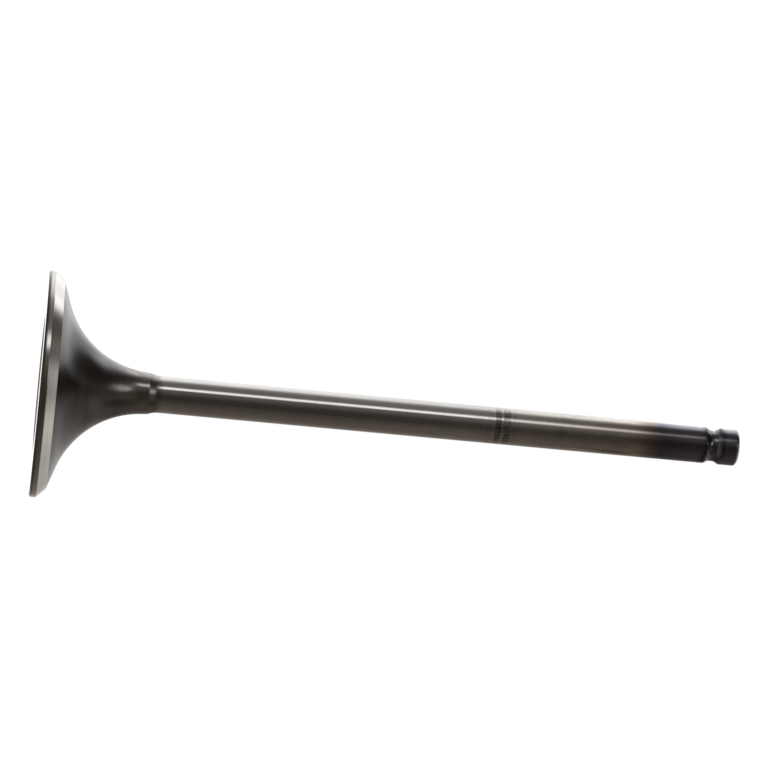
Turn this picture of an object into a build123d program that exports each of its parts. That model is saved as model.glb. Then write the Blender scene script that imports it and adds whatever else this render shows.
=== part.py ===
from build123d import *
from math import cos, radians, sin, tan
import os

# Poppet valve of an engine, forged and ground in one piece.
# It stands on its combustion face: the face lies in the plane Z = 0 and the stem runs up +Z.
# Sizes are in millimetres, angles in degrees, and heights are measured up from the combustion face.

# Head: a combustion face with a shallow round recess, a cylindrical margin and a conical seat.
recess_diameter = 30.0
recess_depth = 0.3
recess_side_angle = 30.0  # from the axis
recess_edge_radius = 0.2
head_diameter = 48.8
face_edge_radius = 0.65  # between the combustion face and the margin
margin_height = 1.5
margin_edge_radius = 0.35  # between the margin and the seat
seat_height = 2.05
seat_angle = 45.0  # from the plane of the head

# Back of the head: a shallow cone, which a wide arc sweeps up into the neck.
back_angle = 19.2  # from the plane of the head
flare_radius = 19.8

# Neck: it narrows up to the shoulder, where it drops to the ground stem.
neck_taper = 5.3  # from the axis
shoulder_height = 23.65
shoulder_depth = 0.48
shoulder_angle = 17.0  # from the axis
shoulder_edge_radius = 1.0
shoulder_foot_radius = 4.5

# Stem: a ground cylinder that ends in a chamfered tip, with both edges of the chamfer rounded off.
stem_diameter = 7.96
overall_length = 152.85
tip_chamfer = 0.5
tip_edge_radius = 0.4

# Keeper groove: sloping sides that blend into its floor and into the stem.
tip_land = 3.85  # cylinder left between the groove and the end of the stem
groove_depth = 0.6
groove_floor_width = 1.3
groove_side_angle = 30.0  # from the axis
groove_floor_radius = 1.5
groove_edge_radius = 0.5

# The largest share of a straight run that rounding may use up, where one of its ends is rounded and
# where both are.
ONE_END = 0.95
EACH_END = 0.45

rim_radius = head_diameter / 2
stem_radius = stem_diameter / 2


def rounding(wanted, turn, room):
    """Radius of the arc that rounds a corner, no larger than the room along its runs allows."""
    return min(wanted, room / tan(radians(turn / 2)))


def head_corners():
    """Combustion face, margin and seat, as (distance from the axis, height, corner radius)."""
    recess_radius = recess_diameter / 2
    recess_floor_radius = recess_radius - recess_depth * tan(radians(recess_side_angle))
    recess_room = EACH_END * recess_depth / cos(radians(recess_side_angle))
    recess_edge = rounding(recess_edge_radius, 90 - recess_side_angle, recess_room)
    seat_run = seat_height / tan(radians(seat_angle))
    face_edge = rounding(face_edge_radius, 90, EACH_END * margin_height)
    margin_edge = rounding(margin_edge_radius, 90 - seat_angle, EACH_END * min(margin_height, seat_height))
    return [
        (0, recess_depth, 0),
        (recess_floor_radius, recess_depth, recess_edge),
        (recess_radius, 0, recess_edge),
        (rim_radius, 0, face_edge),
        (rim_radius, margin_height, margin_edge),
        (rim_radius - seat_run, margin_height + seat_height, 0),
    ]


def neck_corners(seat_top_radius, seat_top_height):
    """Sweep from the back of the head into the neck, and the shoulder down to the stem."""
    neck_radius = stem_radius + shoulder_depth
    back_slope = tan(radians(back_angle))
    neck_slope = tan(radians(neck_taper))

    # The back cone rises inwards from the seat, and the neck widens downwards from the shoulder.
    # The arc of the flare rounds the corner where the two would meet.
    cone_tip_height = seat_top_height + seat_top_radius * back_slope
    widening = neck_radius + (shoulder_height - cone_tip_height) * neck_slope
    meeting_radius = widening / (1 - back_slope * neck_slope)
    meeting_height = cone_tip_height - meeting_radius * back_slope
    back_run = (seat_top_radius - meeting_radius) / cos(radians(back_angle))
    neck_run = (shoulder_height - meeting_height) / cos(radians(neck_taper))
    flare = rounding(flare_radius, 90 - back_angle - neck_taper, ONE_END * min(back_run, neck_run))

    shoulder_rise = shoulder_depth / tan(radians(shoulder_angle))
    shoulder_run = shoulder_depth / sin(radians(shoulder_angle))
    shoulder_room = EACH_END * shoulder_run
    shoulder_edge = rounding(shoulder_edge_radius, shoulder_angle - neck_taper, shoulder_room)
    shoulder_foot = rounding(shoulder_foot_radius, shoulder_angle, shoulder_room)
    return [
        (meeting_radius, meeting_height, flare),
        (neck_radius, shoulder_height, shoulder_edge),
        (stem_radius, shoulder_height + shoulder_rise, shoulder_foot),
    ]


def groove_corners():
    """Keeper groove near the end of the stem, from its lower edge to its upper one."""
    floor_radius = stem_radius - groove_depth
    side_rise = groove_depth / tan(radians(groove_side_angle))
    side_run = groove_depth / sin(radians(groove_side_angle))
    top = overall_length - tip_land
    floor_top = top - side_rise
    floor_bottom = floor_top - groove_floor_width
    bottom = floor_bottom - side_rise
    floor_room = EACH_END * min(groove_floor_width, side_run)
    floor_blend = rounding(groove_floor_radius, groove_side_angle, floor_room)
    edge_room = EACH_END * min(tip_land - tip_chamfer, side_run)
    edge_blend = rounding(groove_edge_radius, groove_side_angle, edge_room)
    return [
        (stem_radius, bottom, edge_blend),
        (floor_radius, floor_bottom, floor_blend),
        (floor_radius, floor_top, floor_blend),
        (stem_radius, top, edge_blend),
    ]


def tip_corners():
    """Chamfered end of the stem, back to the axis."""
    edge = rounding(tip_edge_radius, 45, EACH_END * tip_chamfer / cos(radians(45)))
    return [
        (stem_radius, overall_length - tip_chamfer, edge),
        (stem_radius - tip_chamfer, overall_length, edge),
        (0, overall_length, 0),
    ]


def engine_valve():
    """The whole valve, turned about +Z from one closed outline."""
    head = head_corners()
    seat_top_radius, seat_top_height, _ = head[-1]
    corners = head + neck_corners(seat_top_radius, seat_top_height) + groove_corners() + tip_corners()
    points = [(radius, height) for radius, height, _ in corners]
    roundings = [corner_radius for _, _, corner_radius in corners]
    outline = Plane.XZ * make_face(FilletPolyline(*points, radius=roundings, close=True))
    return revolve(outline, Axis.Z)


os.makedirs("parts", exist_ok=True)
export_step(engine_valve(), "parts/engine_valve.step")
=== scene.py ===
from math import cos, pi, radians, sin, tan

import bmesh
import bpy
from mathutils import Matrix, Vector


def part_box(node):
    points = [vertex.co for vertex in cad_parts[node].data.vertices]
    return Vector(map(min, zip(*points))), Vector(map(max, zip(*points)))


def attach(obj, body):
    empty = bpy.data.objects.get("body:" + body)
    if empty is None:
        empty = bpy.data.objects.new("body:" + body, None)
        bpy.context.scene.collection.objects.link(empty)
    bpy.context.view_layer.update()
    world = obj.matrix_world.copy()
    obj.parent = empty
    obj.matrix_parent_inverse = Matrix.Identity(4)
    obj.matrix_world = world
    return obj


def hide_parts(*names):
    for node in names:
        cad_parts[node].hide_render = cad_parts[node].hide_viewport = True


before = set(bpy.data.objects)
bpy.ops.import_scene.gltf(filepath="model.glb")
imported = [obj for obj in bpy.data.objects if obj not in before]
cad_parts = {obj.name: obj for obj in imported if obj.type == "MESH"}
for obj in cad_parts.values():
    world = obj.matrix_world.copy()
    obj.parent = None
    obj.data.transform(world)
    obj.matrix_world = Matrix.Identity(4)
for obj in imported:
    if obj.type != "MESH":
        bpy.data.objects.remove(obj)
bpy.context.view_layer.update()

# Everything is in metres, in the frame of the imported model: the valve stands on its combustion face
# at Z = 0 and its stem runs up +Z.
MM = 0.001
NODE = "engine_valve"

# Sizes of the solid, which the finely divided mesh below repeats.
RECESS_RADIUS = 15.0 * MM
RECESS_DEPTH = 0.3 * MM
RECESS_SIDE_ANGLE = radians(30)
RECESS_EDGE_RADIUS = 0.2 * MM
RIM_RADIUS = 24.4 * MM
FACE_EDGE_RADIUS = 0.65 * MM
MARGIN_TOP = 1.5 * MM
MARGIN_EDGE_RADIUS = 0.35 * MM
SEAT_TOP = 3.55 * MM
SEAT_ANGLE = radians(45)
SEAT_TOP_RADIUS = RIM_RADIUS - (SEAT_TOP - MARGIN_TOP) / tan(SEAT_ANGLE)
BACK_ANGLE = radians(19.2)
FLARE_RADIUS = 19.8 * MM
NECK_TAPER = radians(5.3)
SHOULDER_HEIGHT = 23.65 * MM
SHOULDER_DEPTH = 0.48 * MM
SHOULDER_ANGLE = radians(17)
SHOULDER_EDGE_RADIUS = 1.0 * MM
SHOULDER_FOOT_RADIUS = 4.5 * MM
STEM_RADIUS = 3.98 * MM
OVERALL_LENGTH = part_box(NODE)[1].z
TIP_CHAMFER = 0.5 * MM
TIP_EDGE_RADIUS = 0.4 * MM
TIP_LAND = 3.85 * MM
GROOVE_DEPTH = 0.6 * MM
GROOVE_FLOOR = 1.3 * MM
GROOVE_SIDE_ANGLE = radians(30)
GROOVE_FLOOR_RADIUS = 1.5 * MM
GROOVE_EDGE_RADIUS = 0.5 * MM
# The corner above the seat is sharp in the solid and is broken by a hair's breadth here, as a real
# ground edge is.
BROKEN_EDGE = 0.06 * MM

# How finely the mesh is divided: round the axis, round each corner and along each straight. It stays
# under 200,000 triangles.
SEGMENTS = 256
ARC_STEP = radians(2.5)
LEAST_ARC_STEPS = 3
STRAIGHT_STEP = 1.5 * MM
ON_AXIS = 1e-9  # a point nearer to the axis than this lies on it

# Parts of the valve with a finish of their own, from the bottom up.
ZONES = ("face", "margin", "seat", "flare", "stem")


# ---------------------------------------------------------------------------------------------- shape


def head_corners():
    """Combustion face, margin and seat, as (distance from the axis, height, corner radius)."""
    recess_floor_radius = RECESS_RADIUS - RECESS_DEPTH * tan(RECESS_SIDE_ANGLE)
    return [
        (0, RECESS_DEPTH, 0),
        (recess_floor_radius, RECESS_DEPTH, RECESS_EDGE_RADIUS),
        (RECESS_RADIUS, 0, RECESS_EDGE_RADIUS),
        (RIM_RADIUS, 0, FACE_EDGE_RADIUS),
        (RIM_RADIUS, MARGIN_TOP, MARGIN_EDGE_RADIUS),
        (SEAT_TOP_RADIUS, SEAT_TOP, BROKEN_EDGE),
    ]


def neck_corners():
    """Sweep from the back of the head into the neck, and the shoulder down to the stem."""
    neck_radius = STEM_RADIUS + SHOULDER_DEPTH
    cone_tip = SEAT_TOP + SEAT_TOP_RADIUS * tan(BACK_ANGLE)
    widening = neck_radius + (SHOULDER_HEIGHT - cone_tip) * tan(NECK_TAPER)
    meeting_radius = widening / (1 - tan(BACK_ANGLE) * tan(NECK_TAPER))
    meeting_height = cone_tip - meeting_radius * tan(BACK_ANGLE)
    stem_start = SHOULDER_HEIGHT + SHOULDER_DEPTH / tan(SHOULDER_ANGLE)
    return [
        (meeting_radius, meeting_height, FLARE_RADIUS),
        (neck_radius, SHOULDER_HEIGHT, SHOULDER_EDGE_RADIUS),
        (STEM_RADIUS, stem_start, SHOULDER_FOOT_RADIUS),
    ]


def groove_corners():
    """Keeper groove near the end of the stem."""
    floor_radius = STEM_RADIUS - GROOVE_DEPTH
    side_rise = GROOVE_DEPTH / tan(GROOVE_SIDE_ANGLE)
    top = OVERALL_LENGTH - TIP_LAND
    floor_top = top - side_rise
    floor_bottom = floor_top - GROOVE_FLOOR
    return [
        (STEM_RADIUS, floor_bottom - side_rise, GROOVE_EDGE_RADIUS),
        (floor_radius, floor_bottom, GROOVE_FLOOR_RADIUS),
        (floor_radius, floor_top, GROOVE_FLOOR_RADIUS),
        (STEM_RADIUS, top, GROOVE_EDGE_RADIUS),
    ]


def tip_corners():
    """Chamfered end of the stem, back to the axis."""
    return [
        (STEM_RADIUS, OVERALL_LENGTH - TIP_CHAMFER, TIP_EDGE_RADIUS),
        (STEM_RADIUS - TIP_CHAMFER, OVERALL_LENGTH, TIP_EDGE_RADIUS),
        (0, OVERALL_LENGTH, 0),
    ]


def rounded(before, corner, after, radius):
    """Points of the arc that rounds a corner between two straight runs."""
    to_before = (before - corner).normalized()
    to_after = (after - corner).normalized()
    half_opening = to_before.angle(to_after) / 2
    bisector = (to_before + to_after).normalized()
    centre = corner + bisector * (radius / sin(half_opening))
    turn = pi - 2 * half_opening
    steps = max(LEAST_ARC_STEPS, round(turn / ARC_STEP))
    start = corner + to_before * (radius / tan(half_opening)) - centre
    side = 1 if to_after.cross(to_before) > 0 else -1
    points = []
    for step in range(steps + 1):
        angle = side * turn * step / steps
        points.append(centre + Matrix.Rotation(angle, 2) @ start)
    return points


def divided(points):
    """The same run of points, with more of them along its long straights."""
    fine = [points[0]]
    for point in points[1:]:
        run = point - fine[-1]
        pieces = max(1, round(run.length / STRAIGHT_STEP))
        fine += [fine[-1] + run * (piece / pieces) for piece in range(1, pieces + 1)]
    return fine


def outline():
    """Close points on the outline, from the middle of the face to the middle of the tip."""
    corners = head_corners() + neck_corners() + groove_corners() + tip_corners()
    places = [Vector((radius, height)) for radius, height, _ in corners]
    points = [places[0]]
    for index in range(1, len(corners) - 1):
        before, corner, after = places[index - 1:index + 2]
        corner_radius = corners[index][2]
        points += rounded(before, corner, after, corner_radius)
    points.append(places[-1])
    return divided(points)


def zone(radius, height):
    """Which part of the valve a face belongs to, by its place on the outline."""
    if height <= RECESS_DEPTH and radius < RIM_RADIUS - FACE_EDGE_RADIUS:
        return "face"
    if height < MARGIN_TOP:
        return "margin"
    if height < SEAT_TOP:
        return "seat"
    if height < SHOULDER_HEIGHT:
        return "flare"
    return "stem"


def ring(mesh, point):
    """One ring of the turned mesh, or a single point on the axis."""
    if point.x < ON_AXIS:
        return [mesh.verts.new((0, 0, point.y))]
    angles = [2 * pi * segment / SEGMENTS for segment in range(SEGMENTS)]
    return [mesh.verts.new((point.x * cos(angle), point.x * sin(angle), point.y)) for angle in angles]


def band(mesh, lower, upper):
    """The faces between two rings, of which one may be a point on the axis."""
    faces = []
    for segment in range(SEGMENTS):
        following = (segment + 1) % SEGMENTS
        if len(lower) == 1:
            around = (lower[0], upper[following], upper[segment])
        elif len(upper) == 1:
            around = (lower[segment], lower[following], upper[0])
        else:
            around = (lower[segment], lower[following], upper[following], upper[segment])
        faces.append(mesh.faces.new(around))
    return faces


def new_object(name, mesh):
    """Puts a mesh into the scene as an object."""
    data = bpy.data.meshes.new(name)
    mesh.to_mesh(data)
    mesh.free()
    holder = bpy.data.objects.new(name, data)
    bpy.context.scene.collection.objects.link(holder)
    return holder


def turned_valve():
    """The valve, turned about Z, whose faces know which zone they belong to."""
    mesh = bmesh.new()
    points = outline()
    rings = [ring(mesh, point) for point in points]
    for lower, upper, low, high in zip(rings, rings[1:], points, points[1:]):
        slot = ZONES.index(zone((low.x + high.x) / 2, (low.y + high.y) / 2))
        for face in band(mesh, lower, upper):
            face.material_index = slot
            face.smooth = True
    return new_object("turned_valve", mesh)


# ------------------------------------------------------------------------------------------ materials

# Most values of a noise lie in this range.
NOISE_RANGE = (0.3, 0.7)
NOISE_ROUGHNESS = 0.6
# Places of a mix node's colour sockets, which share their names with those for numbers and vectors.
FIRST_COLOUR = 6
SECOND_COLOUR = 7
MIXED_COLOUR = 2


def grey(level):
    return (level, level, level)


class Nodes:
    """Short names for adding shader nodes to one tree."""

    def __init__(self, tree):
        self.tree = tree

    def add(self, kind, **settings):
        node = self.tree.nodes.new(kind)
        for name, value in settings.items():
            setattr(node, name, value)
        return node

    def join(self, source, socket):
        self.tree.links.new(source, socket)

    def feed(self, socket, value):
        """Links an output to a socket, or sets a plain value or colour on it."""
        if isinstance(value, bpy.types.NodeSocket):
            self.join(value, socket)
        elif socket.type == "RGBA":
            socket.default_value = (*value, 1)
        else:
            socket.default_value = value

    def place(self):
        """Coordinates on the object as separate X, Y and Z."""
        return self.parts(self.add("ShaderNodeTexCoord").outputs["Object"])

    def parts(self, vector):
        """The X, Y and Z of a vector."""
        node = self.add("ShaderNodeSeparateXYZ")
        self.join(vector, node.inputs[0])
        return node.outputs

    def maths(self, operation, first, second=0.0, third=0.0):
        node = self.add("ShaderNodeMath", operation=operation)
        for socket, value in zip(node.inputs, (first, second, third)):
            self.feed(socket, value)
        return node.outputs[0]

    def times(self, *values):
        """All the values multiplied together."""
        total = values[0]
        for value in values[1:]:
            total = self.maths("MULTIPLY", total, value)
        return total

    def vector_maths(self, operation, first, second):
        node = self.add("ShaderNodeVectorMath", operation=operation)
        self.feed(node.inputs[0], first)
        self.feed(node.inputs[1], second)
        return node.outputs

    def product(self, first, second):
        """Two colours or vectors multiplied part by part."""
        return self.vector_maths("MULTIPLY", first, second)["Vector"]

    def sum(self, first, second):
        """Two colours or vectors added part by part."""
        return self.vector_maths("ADD", first, second)["Vector"]

    def shade(self, colour, level):
        """A colour made darker or lighter by a level."""
        node = self.add("ShaderNodeVectorMath", operation="SCALE")
        self.join(colour, node.inputs[0])
        self.feed(node.inputs["Scale"], level)
        return node.outputs[0]

    def mix(self, share, first, second):
        """The first colour where the share is 0, and the second where it is 1."""
        node = self.add("ShaderNodeMix", data_type="RGBA")
        self.feed(node.inputs["Factor"], share)
        self.feed(node.inputs[FIRST_COLOUR], first)
        self.feed(node.inputs[SECOND_COLOUR], second)
        return node.outputs[MIXED_COLOUR]

    def gained(self, colour, share, gain):
        """A colour multiplied by a gain where the share is 1 and left alone where it is 0."""
        return self.product(colour, self.mix(share, (1, 1, 1), gain))

    def ramp(self, value, low, high, start=0.0, end=1.0):
        """Smooth step from start to end while the value goes from low to high."""
        node = self.add("ShaderNodeMapRange", interpolation_type="SMOOTHSTEP")
        for name, part in (("Value", value), ("From Min", low), ("From Max", high),
                           ("To Min", start), ("To Max", end)):
            self.feed(node.inputs[name], part)
        return node.outputs["Result"]

    def colours(self, value, stops):
        """Colour that runs through (value, colour) stops."""
        low = stops[0][0]
        high = stops[-1][0]
        share = self.add("ShaderNodeMapRange")
        for name, part in (("Value", value), ("From Min", low), ("From Max", high)):
            self.feed(share.inputs[name], part)
        ramp = self.add("ShaderNodeValToRGB")
        self.join(share.outputs["Result"], ramp.inputs[0])
        elements = ramp.color_ramp.elements
        while len(elements) < len(stops):
            elements.new(0.5)
        for element, (place, colour) in zip(elements, stops):
            element.position = (place - low) / (high - low)
            element.color = (*colour, 1)
        return ramp.outputs["Color"]

    def levels(self, value, stops):
        """Grey level that runs through (value, level) stops."""
        return self.colours(value, [(place, grey(level)) for place, level in stops])

    def noise(self, across, along, detail=3.0, offset=0.0):
        """Noise with its own number of cells per metre across the axis and along it."""
        stretch = self.add("ShaderNodeMapping")
        stretch.inputs["Scale"].default_value = (across, across, along)
        stretch.inputs["Location"].default_value = (offset, offset, offset)
        self.join(self.add("ShaderNodeTexCoord").outputs["Object"], stretch.inputs["Vector"])
        node = self.add("ShaderNodeTexNoise")
        node.inputs["Scale"].default_value = 1.0
        node.inputs["Detail"].default_value = detail
        node.inputs["Roughness"].default_value = NOISE_ROUGHNESS
        self.join(stretch.outputs[0], node.inputs["Vector"])
        return node.outputs["Fac"]

    def from_axis(self):
        """Distance from the object's Z axis."""
        x, y, _ = self.place()
        return self.maths("SQRT", self.maths("ADD", self.times(x, x), self.times(y, y)))


def bare_material(thing, name):
    """Gives a thing an empty material, and returns its nodes and the socket that takes a shader."""
    material = bpy.data.materials.new(name)
    material.use_nodes = True
    material.node_tree.nodes.clear()
    thing.data.materials.append(material)
    nodes = Nodes(material.node_tree)
    return nodes, nodes.add("ShaderNodeOutputMaterial").inputs["Surface"]


def metal(name, finish):
    """A metallic material, whose finish works out its colour and roughness."""
    material = bpy.data.materials.new(name)
    material.use_nodes = True
    nodes = Nodes(material.node_tree)
    shader = material.node_tree.nodes["Principled BSDF"]
    shader.inputs["Metallic"].default_value = 1.0
    colour, roughness = finish(nodes)
    nodes.feed(shader.inputs["Base Color"], colour)
    nodes.feed(shader.inputs["Roughness"], roughness)
    return material


def turned_grain(nodes, low, high):
    """Level that varies in fine rings round the axis, as cutting and grinding leave them."""
    return nodes.ramp(nodes.noise(across=25, along=1700), *NOISE_RANGE, low, high)


def skinned(nodes, skin, patches):
    """Colour that runs through a skin's stops up the valve, in patches and fine rings."""
    _, _, z = nodes.place()
    return nodes.shade(nodes.colours(z, skin), nodes.times(patches, turned_grain(nodes, 0.95, 1.05)))


# The combustion face is bright, with rings about its middle that are narrower than a millimetre.
FACE_STEELS = ((0.50, 0.485, 0.47), (0.60, 0.585, 0.57))
FACE_RINGS_PER_METRE = 1800
FACE_ROUGHNESS = 0.1


def face_finish(nodes):
    """Bright steel in fine rings."""
    rings = nodes.add("ShaderNodeTexNoise", noise_dimensions="1D")
    nodes.join(nodes.from_axis(), rings.inputs["W"])
    rings.inputs["Scale"].default_value = FACE_RINGS_PER_METRE
    rings.inputs["Detail"].default_value = 3
    steel = nodes.mix(nodes.ramp(rings.outputs["Fac"], *NOISE_RANGE), *FACE_STEELS)
    return steel, FACE_ROUGHNESS


# The rounded edge between the combustion face and the margin is darkened in its colour, a painted shade.
MARGIN_STEEL_AND_PAINTED_EDGE_SHADE = (
    (0.0 * MM, (0.055, 0.052, 0.048)),
    (0.3 * MM, (0.060, 0.057, 0.053)),
    (0.45 * MM, (0.14, 0.134, 0.127)),
    (0.6 * MM, (0.34, 0.325, 0.31)),
    (0.75 * MM, (0.51, 0.49, 0.465)),
)
MARGIN_ROUGHNESS = 0.18


def margin_finish(nodes):
    """Ground steel above the painted shade of the rounded edge."""
    patches = nodes.ramp(nodes.noise(across=250, along=900), *NOISE_RANGE, 0.93, 1.07)
    return skinned(nodes, MARGIN_STEEL_AND_PAINTED_EDGE_SHADE, patches), MARGIN_ROUGHNESS


SEAT_STEELS = ((0.58, 0.56, 0.53), (0.66, 0.64, 0.61))
SEAT_ROUGHNESS = 0.17


def seat_finish(nodes):
    """Freshly ground steel."""
    steel = nodes.mix(nodes.noise(across=180, along=700), *SEAT_STEELS)
    return nodes.shade(steel, turned_grain(nodes, 0.9, 1.07)), SEAT_ROUGHNESS


# The back of the head keeps a dark skin of oxide, which thins out up the neck and gets smoother there.
FLARE_SKIN = (
    (3.5 * MM, (0.022, 0.020, 0.018)),
    (4.8 * MM, (0.046, 0.042, 0.038)),
    (8.0 * MM, (0.044, 0.040, 0.036)),
    (10.5 * MM, (0.058, 0.053, 0.048)),
    (13.0 * MM, (0.125, 0.118, 0.113)),
    (16.0 * MM, (0.140, 0.131, 0.126)),
    (18.3 * MM, (0.175, 0.164, 0.154)),
    (20.3 * MM, (0.270, 0.253, 0.240)),
    (23.7 * MM, (0.330, 0.306, 0.285)),
)
FLARE_SMOOTHING = (15 * MM, 22 * MM)
FLARE_ROUGHNESS = (0.26, 0.17)


def flare_finish(nodes):
    """Oxide skin over turned steel."""
    _, _, z = nodes.place()
    patches = nodes.ramp(nodes.noise(across=140, along=260, detail=5.0), *NOISE_RANGE, 0.9, 1.1)
    roughness = nodes.ramp(z, *FLARE_SMOOTHING, *FLARE_ROUGHNESS)
    return skinned(nodes, FLARE_SKIN, patches), roughness


# Bright ground steel as far as the heat tint, which runs through brown into blue-black at the tip.
STEM_TINT_AND_PAINTED_SHADE = (
    # Painted shade: the shoulder is darker than the ground steel above it, which keeps its glint dim.
    (23.6 * MM, (0.20, 0.188, 0.172)),
    (25.0 * MM, (0.23, 0.218, 0.202)),
    (26.5 * MM, (0.57, 0.56, 0.55)),
    (90.0 * MM, (0.57, 0.56, 0.55)),
    (105.0 * MM, (0.56, 0.545, 0.525)),
    (115.0 * MM, (0.55, 0.525, 0.495)),
    (125.0 * MM, (0.54, 0.505, 0.47)),
    (129.5 * MM, (0.51, 0.46, 0.415)),
    (133.0 * MM, (0.27, 0.225, 0.21)),
    (135.5 * MM, (0.14, 0.14, 0.17)),
    (140.0 * MM, (0.19, 0.185, 0.21)),
    (144.4 * MM, (0.19, 0.185, 0.205)),
    # Painted shade in the keeper groove: darker at the edge into it and on its upper side, over the
    # blue-black tint.
    (145.4 * MM, (0.065, 0.065, 0.082)),
    (146.4 * MM, (0.13, 0.13, 0.15)),
    (147.3 * MM, (0.22, 0.22, 0.24)),
    (148.0 * MM, (0.15, 0.15, 0.17)),
    (148.4 * MM, (0.085, 0.085, 0.097)),
    (149.0 * MM, (0.085, 0.085, 0.097)),
    (149.8 * MM, (0.19, 0.195, 0.23)),
    (153.0 * MM, (0.19, 0.19, 0.205)),
)
TINT_WANDER = 4.0 * MM
# The ground stem is dullest just below the tint. The first value belongs to the shoulder.
STEM_ROUGHNESS = (
    (24.8 * MM, 0.26),
    (26.3 * MM, 0.125),
    (92.0 * MM, 0.13),
    (106.0 * MM, 0.20),
    (127.0 * MM, 0.20),
    (134.0 * MM, 0.155),
    (OVERALL_LENGTH, 0.155),
)
# Clouds on the steel get darker between two heights, from one level to another.
DARKENING = (104 * MM, 114 * MM)
CLOUD_LEVELS = (0.96, 0.88)
LEVEL_BETWEEN_CLOUDS = 1.05


def tinted_steel_with_painted_shade(nodes):
    """Ground steel with its heat tint and painted shade at the shoulder and in the keeper groove,
    slightly clouded.
    """
    _, _, z = nodes.place()
    uneven = nodes.noise(across=150, along=60, detail=4.0)
    wander = nodes.maths("MULTIPLY_ADD", uneven, TINT_WANDER, -TINT_WANDER / 2)
    tint = nodes.colours(nodes.maths("ADD", z, wander), STEM_TINT_AND_PAINTED_SHADE)
    cloud_level = nodes.ramp(nodes.ramp(z, *DARKENING), 0, 1, *CLOUD_LEVELS)
    clouds = nodes.noise(across=260, along=150, detail=5.0, offset=5.0)
    clouds = nodes.ramp(clouds, *NOISE_RANGE, cloud_level, LEVEL_BETWEEN_CLOUDS)
    return nodes.shade(tint, nodes.times(clouds, turned_grain(nodes, 0.97, 1.02)))


# Brown stains: small spots between two heights, where they fade in and out, and a few smudges, each
# with its middle and half size in millimetres and its darkness.
STAIN_COLOUR = (0.16, 0.12, 0.09)
STAIN_SHARE = 0.7
SPOTTED_FROM = (106 * MM, 116 * MM)
SPOTTED_TO = (132 * MM, 136 * MM)
SPOT_THRESHOLD = (0.55, 0.68)
SPOT_DARKNESS = 0.3
SMUDGES = (
    ((0.2, -4.0, 113.4), (1.5, 1.5, 0.9), 0.4),
    ((3.3, -2.2, 125.0), (0.5, 0.5, 3.6), 1.0),
    ((1.9, -3.5, 126.5), (0.7, 0.7, 1.6), 0.3),
    ((-3.3, 2.2, 121.0), (1.4, 1.4, 2.2), 0.4),
)
SMUDGE_EDGE = (0.4, 1.5)  # where it starts to fade and where it ends, in half sizes
SMUDGE_RAGGEDNESS = 1.6


def stain_spots(nodes):
    """Small spots over the tinted part, as a share of darkness."""
    _, _, z = nodes.place()
    rising = nodes.ramp(z, *SPOTTED_FROM)
    falling = nodes.ramp(z, *SPOTTED_TO, 1, 0)
    spots = nodes.ramp(nodes.noise(across=420, along=240, detail=4.0, offset=9.0), *SPOT_THRESHOLD)
    return nodes.times(rising, falling, spots, SPOT_DARKNESS)


def smudges(nodes):
    """The smudges with ragged edges, as a share of darkness."""
    coordinates = nodes.add("ShaderNodeTexCoord").outputs["Object"]
    uneven = nodes.noise(across=900, along=900, detail=4.0)
    ragged = nodes.maths("MULTIPLY_ADD", uneven, SMUDGE_RAGGEDNESS, -SMUDGE_RAGGEDNESS / 2)
    total = 0.0
    for middle, half_size, darkness in SMUDGES:
        away = nodes.vector_maths("SUBTRACT", coordinates, Vector(middle) * MM)["Vector"]
        scaled = nodes.product(away, [1 / (half * MM) for half in half_size])
        distance = nodes.add("ShaderNodeVectorMath", operation="LENGTH")
        nodes.join(scaled, distance.inputs[0])
        reach = nodes.maths("ADD", distance.outputs["Value"], ragged)
        total = nodes.maths("MAXIMUM", total, nodes.ramp(reach, *SMUDGE_EDGE, darkness, 0))
    return total


# Rows of plain dashes on the stem, as lowest and highest height, with how dark each row is. They lie on
# the side towards the camera and fade out between two depths.
MARK_COLOUR = (0.07, 0.066, 0.06)
MARK_SHARE = 0.8
MARK_ROWS = (
    (97.0 * MM, 98.2 * MM, 0.22),
    (98.8 * MM, 100.1 * MM, 0.9),
    (100.6 * MM, 102.2 * MM, 0.9),
    (102.6 * MM, 103.4 * MM, 0.22),
)
MARKED_SIDE = (-0.85 * STEM_RADIUS, -0.1 * STEM_RADIUS)
MARKS_PER_TURN = 30
MARK_ROW_SHIFT = 1.7
MARK_BLUR = 0.12 * MM
DASH_EDGE = (-0.9, 0.1)
SHARE_BETWEEN_DASHES = 0.6
WEAR_EDGE = (0.38, 0.52)
WORN_SHARE = 0.45


def marks(nodes):
    """The rows of dashes, as a share of darkness."""
    x, y, z = nodes.place()
    turn = nodes.maths("ARCTAN2", y, x)
    total = 0.0
    for index, (low, high, darkness) in enumerate(MARK_ROWS):
        above = nodes.ramp(z, low - MARK_BLUR, low + MARK_BLUR)
        below = nodes.ramp(z, high - MARK_BLUR, high + MARK_BLUR, 1, 0)
        phase = nodes.maths("MULTIPLY_ADD", turn, MARKS_PER_TURN, MARK_ROW_SHIFT * index)
        dash = nodes.ramp(nodes.maths("SINE", phase), *DASH_EDGE, SHARE_BETWEEN_DASHES, 1)
        wear = nodes.noise(across=330, along=330, detail=2.0, offset=3.0 * index)
        worn = nodes.ramp(wear, *WEAR_EDGE, WORN_SHARE, 1)
        total = nodes.maths("ADD", total, nodes.times(above, below, dash, worn, darkness))
    return nodes.times(total, nodes.ramp(y, *MARKED_SIDE, 1, 0))


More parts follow.
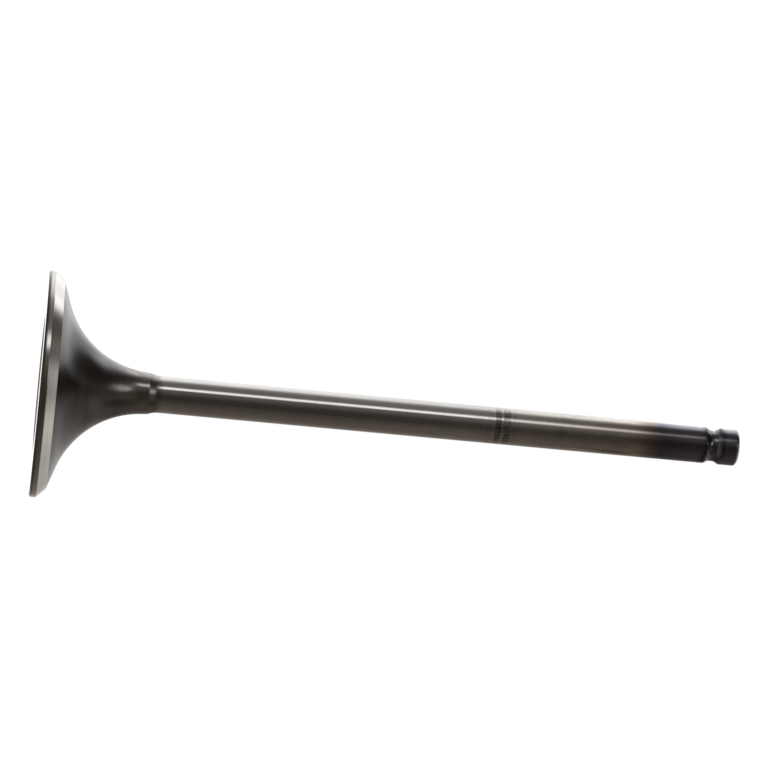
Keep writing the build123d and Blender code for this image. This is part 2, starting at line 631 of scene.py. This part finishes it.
def stem_finish(nodes):
    """Tinted steel with painted shade, under stains and marks."""
    _, _, z = nodes.place()
    stains = nodes.maths("MAXIMUM", stain_spots(nodes), smudges(nodes))
    steel = nodes.mix(nodes.times(stains, STAIN_SHARE), tinted_steel_with_painted_shade(nodes), STAIN_COLOUR)
    steel = nodes.mix(nodes.times(marks(nodes), MARK_SHARE), steel, MARK_COLOUR)
    return steel, nodes.levels(z, STEM_ROUGHNESS)


FINISHES = {
    "face": face_finish,
    "margin": margin_finish,
    "seat": seat_finish,
    "flare": flare_finish,
    "stem": stem_finish,
}


# ---------------------------------------------------------------------------- what the metal mirrors

# A tent round the valve glows for the metal alone. Its light goes by the direction from the middle of
# the combustion face: "up" is the share of the direction that points up in the picture, "front" the
# share that points to the camera and "height" the share that points along the stem, past the tip. The
# higher a place on the stem, the higher the part of the tent that it mirrors, so most heights below
# belong to one stretch of the stem.
TENT_RADIUS = 3.0

# Light from round the stem, by heading in degrees: 0 is towards the camera, 90 is up in the picture
# and 180 is straight behind.
RING_LIGHT = (
    (-180, 1.1), (-170, 0.62), (-150, 0.28), (-134, 0.19), (-106, 0.13), (-74, 0.095), (-47, 0.07),
    (-23, 0.038), (0, 0.044), (20, 0.11), (36, 0.125), (60, 0.18), (74, 0.18), (88, 0.25), (97, 0.44),
    (104, 0.85), (110, 1.12), (120, 1.32), (136, 1.40), (150, 1.25), (164, 1.13), (180, 1.13),
)
# How that light changes with height: in front, at some upper headings, and behind. The pairs are
# shares of the direction between which a change sets in.
FRONT_SIDE = (-0.1, 0.3)
FRONT_LIGHT = ((0.10, 1.0), (0.18, 1.25), (0.25, 1.35), (0.33, 1.0))
UPPER_HEADINGS = ((48, 0), (58, 1), (80, 1), (92, 0))
UPPER_LIGHT = ((0.14, 0.97), (0.19, 0.92), (0.21, 0.74), (0.23, 0.46), (0.27, 0.46))
BACK_SIDE = (-0.3, 0.1)
BACK_UP = (-0.3, 0.0)
BACK_LIGHT = (
    (0.10, 0.98), (0.145, 0.88), (0.18, 0.85), (0.19, 0.90), (0.20, 0.92), (0.215, 0.95), (0.225, 1.4),
    (0.232, 1.8), (0.24, 1.85), (0.25, 1.75), (0.27, 1.25), (0.30, 1.22), (0.40, 1.17), (0.50, 1.0),
    (0.58, 0.98), (0.64, 1.08),
)

# Light from past the tip, by how far up it comes from, and how much of it is left in front.
TIP_LIGHT = (
    (-1.0, 0.24), (-0.85, 0.30), (-0.70, 0.31), (-0.60, 0.36), (-0.50, 0.56), (-0.44, 0.64),
    (-0.33, 0.70), (-0.24, 0.60), (-0.12, 0.42), (-0.06, 0.40), (0.0, 0.46), (0.06, 0.52), (0.13, 0.50),
    (0.20, 0.26), (0.26, 0.12), (0.30, 0.17), (0.35, 0.19), (0.41, 0.08), (0.55, 0.08), (1.0, 0.08),
)
TIP_FRONT_SHARE = 0.32
# Heights between which the one turns into the other, in the lower and the upper half of the tent.
LOWER_TURN = (0.19, 0.66)
UPPER_TURN = (0.67, 0.785)
UPPER_HALF = (-0.08, 0.16)

# Beyond the face lie a plain grey and, straight behind, the white wall that the face mirrors.
BEYOND_LIGHT = 0.30
BEYOND_HEIGHT = (-0.75, -0.1)
WALL_LIGHT = 1.4
WALL_EDGE = (0.985, 0.997)
WALL_HEIGHT = (-0.01, 0.01)

# Dark parts of the tent are brownish and light ones are nearly white. The light is also warmer below,
# and cooler high up and past the tip.
DARK_TINT = (1.15, 0.985, 0.865)
LIGHT_TINT = (1.01, 1.0, 0.99)
TINT_LEVELS = (0.02, 0.5)
WARM_TINT = (1.03, 1.0, 0.96)
WARM_UP = (-0.3, 0.1)
COOL_TINT = (0.94, 0.97, 1.10)
COOL_UP = (0.50, 0.66)
COOL_HEIGHT = (0.36, 0.50)

# Small soft lamps, as heading, elevation, half width and level: two past the tip, seen as the streak
# in the neck, one above and behind, seen along the flare, and one on the head's side, seen as a glint
# in the keeper groove.
TENT_LAMPS = (
    (radians(16), radians(39), radians(15), 1.5),
    (radians(33), radians(26), radians(9), 0.25),
    (radians(126), radians(34), radians(15), 0.45),
    (radians(55), radians(-40), radians(16), 0.7),
)


def towards(heading, elevation):
    """A direction in the studio, from its heading round the stem and its elevation past the tip."""
    return Vector((-cos(elevation) * sin(heading), -cos(elevation) * cos(heading), sin(elevation)))


def ring_light(nodes, up, front, height):
    """Light from round the stem."""
    heading = nodes.maths("DEGREES", nodes.maths("ARCTAN2", up, front))
    light = nodes.levels(heading, RING_LIGHT)
    light = nodes.gained(light, nodes.ramp(front, *FRONT_SIDE), nodes.levels(height, FRONT_LIGHT))
    light = nodes.gained(light, nodes.levels(heading, UPPER_HEADINGS), nodes.levels(height, UPPER_LIGHT))
    behind = nodes.times(nodes.ramp(front, *BACK_SIDE, 1, 0), nodes.ramp(up, *BACK_UP))
    return nodes.gained(light, behind, nodes.levels(height, BACK_LIGHT))


def tip_light(nodes, up, front):
    """Light from past the tip."""
    return nodes.shade(nodes.levels(up, TIP_LIGHT), nodes.ramp(front, *FRONT_SIDE, 1, TIP_FRONT_SHARE))


def surround(nodes, up, front, height):
    """Light from round the stem, which turns into the light from past the tip."""
    upper = nodes.ramp(up, *UPPER_HALF)
    start = nodes.ramp(upper, 0, 1, LOWER_TURN[0], UPPER_TURN[0])
    end = nodes.ramp(upper, 0, 1, LOWER_TURN[1], UPPER_TURN[1])
    past_tip = nodes.ramp(height, start, end)
    return nodes.mix(past_tip, ring_light(nodes, up, front, height), tip_light(nodes, up, front))


def with_face_side(nodes, light, back, height):
    """The same light with what lies beyond the face."""
    light = nodes.mix(nodes.ramp(height, *BEYOND_HEIGHT, 1, 0), light, grey(BEYOND_LIGHT))
    wall = nodes.times(nodes.ramp(back, *WALL_EDGE), nodes.ramp(height, *WALL_HEIGHT, 1, 0))
    return nodes.mix(wall, light, grey(WALL_LIGHT))


def tinted(nodes, light, up, height):
    """The same light with its warm and cool tints."""
    light = nodes.product(light, nodes.mix(nodes.ramp(light, *TINT_LEVELS), DARK_TINT, LIGHT_TINT))
    light = nodes.gained(light, nodes.ramp(up, *WARM_UP, 1, 0), WARM_TINT)
    cool = nodes.times(nodes.ramp(up, *COOL_UP), nodes.ramp(height, *COOL_HEIGHT))
    return nodes.gained(light, cool, COOL_TINT)


def tent_lamp(nodes, direction, heading, elevation, half_width, level):
    """A round soft lamp in the tent, fully bright within a third of its half width."""
    closeness = nodes.vector_maths("DOT_PRODUCT", direction, towards(heading, elevation))["Value"]
    return nodes.ramp(closeness, cos(half_width), cos(half_width / 3), 0, level)


def tent_light(nodes, direction):
    """All the light of the tent, by direction."""
    x, back, height = nodes.parts(direction)
    up = nodes.times(x, -1.0)
    front = nodes.times(back, -1.0)
    light = surround(nodes, up, front, height)
    light = with_face_side(nodes, light, back, height)
    light = tinted(nodes, light, up, height)
    for lamp in TENT_LAMPS:
        light = nodes.sum(light, tent_lamp(nodes, direction, *lamp))
    return light


def for_the_metal_alone(thing):
    """Makes a thing part of the studio that only reflections show."""
    thing.visible_camera = False
    thing.visible_diffuse = False
    thing.visible_shadow = False
    thing.visible_transmission = False


def studio_tent():
    """The tent, dark on the camera's side and bright behind and above."""
    mesh = bmesh.new()
    bmesh.ops.create_uvsphere(mesh, u_segments=64, v_segments=32, radius=TENT_RADIUS)
    tent = new_object("studio_tent", mesh)

    nodes, surface = bare_material(tent, "tent_light")
    direction = nodes.add("ShaderNodeVectorMath", operation="NORMALIZE")
    nodes.join(nodes.add("ShaderNodeTexCoord").outputs["Object"], direction.inputs[0])
    glow = nodes.add("ShaderNodeEmission")
    nodes.join(tent_light(nodes, direction.outputs[0]), glow.inputs["Color"])
    nodes.join(glow.outputs[0], surface)
    for_the_metal_alone(tent)


# The long soft lamp that draws the bright line along the stem: its light across it and up it, in
# metres from its middle and from the plane of the face.
STRIP_HEADING = radians(43.5)
STRIP_DISTANCE = 0.9
STRIP_ACROSS = ((-0.145, 0), (-0.035, 1), (0.04, 1), (0.20, 0))
STRIP_UP = (
    (-0.30, 0.0), (-0.15, 1.8), (0.04, 1.65), (0.10, 1.35), (0.20, 1.5), (0.24, 1.35), (0.285, 1.4),
    (0.295, 0.85), (0.305, 0.5), (0.32, 0.6), (0.34, 0.28), (0.36, 0),
)


def strip_lamp():
    """A glowing sheet in front of the tent, clear where it doesn't glow."""
    left = STRIP_ACROSS[0][0]
    right = STRIP_ACROSS[-1][0]
    low = STRIP_UP[0][0]
    high = STRIP_UP[-1][0]
    mesh = bmesh.new()
    places = ((left, low), (right, low), (right, high), (left, high))
    mesh.faces.new([mesh.verts.new((x, y, 0)) for x, y in places])
    lamp = new_object("strip_lamp", mesh)

    nodes, surface = bare_material(lamp, "strip_light")
    x, y, _ = nodes.place()
    light = nodes.product(nodes.levels(x, STRIP_ACROSS), nodes.levels(y, STRIP_UP))
    glow = nodes.add("ShaderNodeEmission")
    nodes.join(light, glow.inputs["Color"])
    both = nodes.add("ShaderNodeAddShader")
    nodes.join(nodes.add("ShaderNodeBsdfTransparent").outputs[0], both.inputs[0])
    nodes.join(glow.outputs[0], both.inputs[1])
    nodes.join(both.outputs[0], surface)

    across = Vector((-cos(STRIP_HEADING), sin(STRIP_HEADING), 0))
    upwards = Vector((0, 0, 1))
    turn = Matrix((across, upwards, across.cross(upwards))).transposed()
    middle = towards(STRIP_HEADING, 0) * STRIP_DISTANCE
    lamp.matrix_world = Matrix.Translation(middle) @ turn.to_4x4()
    for_the_metal_alone(lamp)


# --------------------------------------------------------------------------- floor, world and camera

FLOOR_RADIUS = 0.9
FLOOR_FADE = (0.18, 0.5)  # distances from the axis between which the floor turns white
FLOOR_GREY = 0.85
FLOOR_GAP = 0.02 * MM  # keeps the floor clear of the combustion face


def pale_floor():
    """Floor that keeps the valve's shadow, fades into white outwards and is clear from below."""
    mesh = bmesh.new()
    bmesh.ops.create_circle(mesh, cap_ends=True, segments=96, radius=FLOOR_RADIUS)
    floor = new_object("floor", mesh)
    floor.location.z = -FLOOR_GAP
    floor.visible_glossy = False

    nodes, surface = bare_material(floor, "pale_floor")
    paint = nodes.add("ShaderNodeBsdfDiffuse")
    nodes.feed(paint.inputs["Color"], grey(FLOOR_GREY))
    faded = nodes.add("ShaderNodeMixShader")
    nodes.join(nodes.ramp(nodes.from_axis(), *FLOOR_FADE), faded.inputs[0])
    nodes.join(paint.outputs[0], faded.inputs[1])
    nodes.join(nodes.add("ShaderNodeEmission").outputs[0], faded.inputs[2])
    sided = nodes.add("ShaderNodeMixShader")
    nodes.join(nodes.add("ShaderNodeNewGeometry").outputs["Backfacing"], sided.inputs[0])
    nodes.join(faded.outputs[0], sided.inputs[1])
    nodes.join(nodes.add("ShaderNodeBsdfTransparent").outputs[0], sided.inputs[2])
    nodes.join(sided.outputs[0], surface)


WORLD_ON_FLOOR = 0.6  # strength of the world as light on the floor


def white_world():
    """White wherever the camera, the metal or glass sees it, and softer as light on the floor."""
    world = bpy.data.worlds.new("studio")
    world.use_nodes = True
    nodes = Nodes(world.node_tree)
    path = nodes.add("ShaderNodeLightPath")
    seen = nodes.maths("MAXIMUM", path.outputs["Is Camera Ray"], path.outputs["Is Glossy Ray"])
    seen = nodes.maths("MAXIMUM", seen, path.outputs["Is Transmission Ray"])
    strength = nodes.maths("MULTIPLY_ADD", seen, 1 - WORLD_ON_FLOOR, WORLD_ON_FLOOR)
    background = world.node_tree.nodes["Background"]
    nodes.feed(background.inputs["Color"], grey(1))
    nodes.join(strength, background.inputs["Strength"])
    bpy.context.scene.world = world


SHADOW_LAMP_PLACE = Vector((-0.5, 0.4, 1.1))
SHADOW_LAMP_WIDTH = 0.7
SHADOW_LAMP_WATTS = 4


def shadow_lamp():
    """A large square lamp that faces the valve and only gives the floor its soft shadow."""
    light = bpy.data.lights.new("shadow_lamp", "AREA")
    light.shape = "SQUARE"
    light.size = SHADOW_LAMP_WIDTH
    light.energy = SHADOW_LAMP_WATTS
    lamp = bpy.data.objects.new("shadow_lamp", light)
    lamp.location = SHADOW_LAMP_PLACE
    lamp.rotation_euler = (-SHADOW_LAMP_PLACE).to_track_quat("-Z", "Y").to_euler()
    lamp.visible_glossy = False
    bpy.context.scene.collection.objects.link(lamp)


# Camera: a long lens beside the head, from which the stem leads away to the right. The lens and its
# sensor are in millimetres.
LENS = 168.75
SENSOR = 36.0
VIEW_TILT = radians(6.224)  # the tip lies farther from the camera than the head
VIEW_ROLL = radians(5.345)  # the stem runs down to the right
CAMERA_PLACE = Vector((-6.77, -775.93, -10.41)) * MM
NEAREST_SEEN = 0.05
FARTHEST_SEEN = 20


def camera():
    """The camera of the photograph."""
    data = bpy.data.cameras.new("camera")
    data.lens = LENS
    data.sensor_width = SENSOR
    data.clip_start = NEAREST_SEEN
    data.clip_end = FARTHEST_SEEN
    holder = bpy.data.objects.new("camera", data)
    bpy.context.scene.collection.objects.link(holder)
    forward = Vector((0, cos(VIEW_TILT), sin(VIEW_TILT)))
    along = Vector((0, -sin(VIEW_TILT), cos(VIEW_TILT)))
    down = Vector((1, 0, 0))
    right = along * cos(VIEW_ROLL) - down * sin(VIEW_ROLL)
    up = -(along * sin(VIEW_ROLL) + down * cos(VIEW_ROLL))
    turn = Matrix((right, up, -forward)).transposed()
    holder.matrix_world = Matrix.Translation(CAMERA_PLACE) @ turn.to_4x4()
    bpy.context.scene.camera = holder


# ------------------------------------------------------------------------------------------- assembly

valve = turned_valve()
for part in ZONES:
    valve.data.materials.append(metal(part + "_steel", FINISHES[part]))
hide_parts(NODE)
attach(valve, "root")

studio_tent()
strip_lamp()
pale_floor()
white_world()
shadow_lamp()
camera()

bpy.context.scene.view_settings.view_transform = "Standard"
